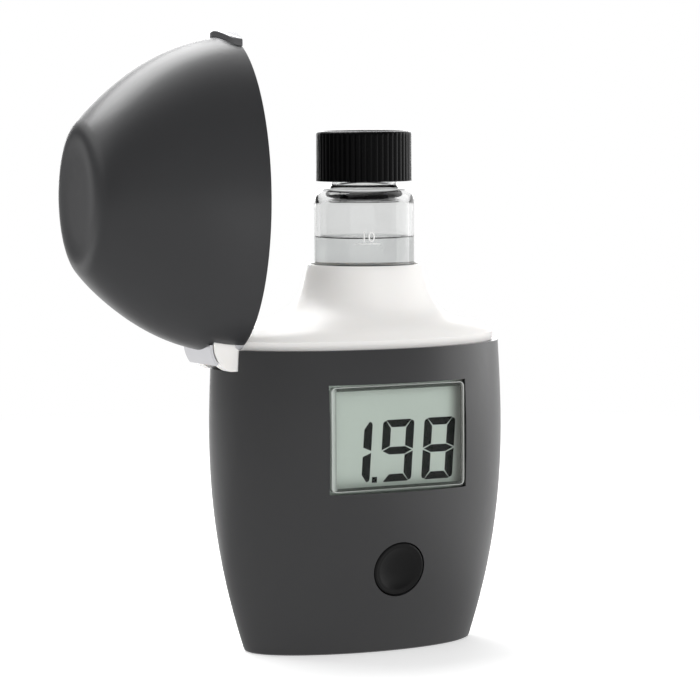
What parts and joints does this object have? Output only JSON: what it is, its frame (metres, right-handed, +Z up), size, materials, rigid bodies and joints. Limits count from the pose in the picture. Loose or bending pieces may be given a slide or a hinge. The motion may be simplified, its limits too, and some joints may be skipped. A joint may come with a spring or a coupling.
{
  "type": "portable colorimeter",
  "caption": "Pocket colorimeter with a hinged egg-shaped lid, front display and button, and a capped glass vial standing in its light well.",
  "frame": {"origin": "centre of the flat base face that the instrument stands on", "axes": "+Z up, -Y out of the display side, -X towards the lid hinge"},
  "size_m": [0.0852, 0.0369, 0.1137],
  "materials": {
    "shell_grey": "fine soft-touch grain",
    "lid_grey": "fine soft-touch grain",
    "housing_white": "satin",
    "seal_white": "satin rubber",
    "window_clear": "clear acrylic",
    "display_grey": "polarised display film",
    "frame_black": "moulded",
    "strip_rubber": "conductive rubber",
    "board_green": "solder mask",
    "screw_steel": "zinc plated",
    "chip_black": "moulded epoxy",
    "plunger_black": "moulded",
    "button_black": "satin",
    "lamp_clear": "clear epoxy",
    "holder_black": "moulded",
    "sensor_black": "moulded epoxy",
    "battery_foil": "plain foil sleeve",
    "contact_nickel": "nickel plated",
    "cover_grey": "fine grain",
    "ring_rubber": "nitrile rubber",
    "trim_chrome": "bright plated",
    "pin_steel": "ground steel",
    "vial_glass": "clear glass",
    "sample_water": "clear liquid",
    "liner_white": "foam liner",
    "cap_black": "gloss, ribbed"
  },
  "bodies": {
    "instrument": {"body_shell": "shell_grey", "top_housing": "housing_white", "light_seal": "seal_white", "lcd_window": "window_clear", "lcd_glass": "display_grey", "lcd_frame": "frame_black", "zebra_strips": "strip_rubber", "circuit_board": "board_green", "board_screws": "screw_steel", "controller_chip": "chip_black", "switch_body": "chip_black", "led_lamp": "lamp_clear", "led_holder": "holder_black", "light_sensor": "sensor_black", "battery_cell": "battery_foil", "battery_contact": "contact_nickel", "hinge_pin": "pin_steel"},
    "lid": {"lid_shell": "lid_grey", "hinge_cover": "trim_chrome", "lid_clasp": "trim_chrome"},
    "cuvette": {"cuvette_glass": "vial_glass", "sample_liquid": "sample_water"},
    "liner": {"cap_liner": "liner_white"},
    "cap": {"cuvette_cap": "cap_black"},
    "button": {"button_cap": "button_black", "switch_plunger": "plunger_black"},
    "battery_door": {"battery_cover": "cover_grey", "cover_ring": "ring_rubber", "cover_contact": "contact_nickel"}
  },
  "joints": [
    {"name": "lid_hinge", "type": "hinge", "parent": "instrument", "child": "lid", "pos_m": [-0.0268, 0, 0.0571], "axis": [0, 1, 0], "range_deg": [0, 90]},
    {"name": "cuvette_slide", "type": "slide", "parent": "instrument", "child": "cuvette", "axis": [0, 0, -1], "range_m": [0, 0.014]},
    {"name": "cap_rise", "type": "slide", "parent": "cuvette", "child": "liner", "axis": [0, 0, 1], "range_m": [0, 0.00213]},
    {"name": "cap_turn", "type": "hinge", "parent": "liner", "child": "cap", "pos_m": [0.0018, 0, 0.0906], "axis": [0, 0, 1], "range_deg": [0, 360]},
    {"name": "button_press", "type": "slide", "parent": "instrument", "child": "button", "axis": [0, 0.9781, 0.2079], "range_m": [0, 0.0006], "stiffness_N_per_m": 1500, "springref_m": -0.0005},
    {"name": "battery_cover_turn", "type": "hinge", "parent": "instrument", "child": "battery_door", "pos_m": [-0.0152, 0, 0.002], "axis": [0, 0, -1], "range_deg": [0, 90]}
  ],
  "couplings": [
    {"joint": "cuvette_slide", "follows": "lid_hinge", "m_per_rad": 0.0089118},
    {"joint": "cap_rise", "follows": "cap_turn", "m_per_rad": 0.00033741}
  ]
}
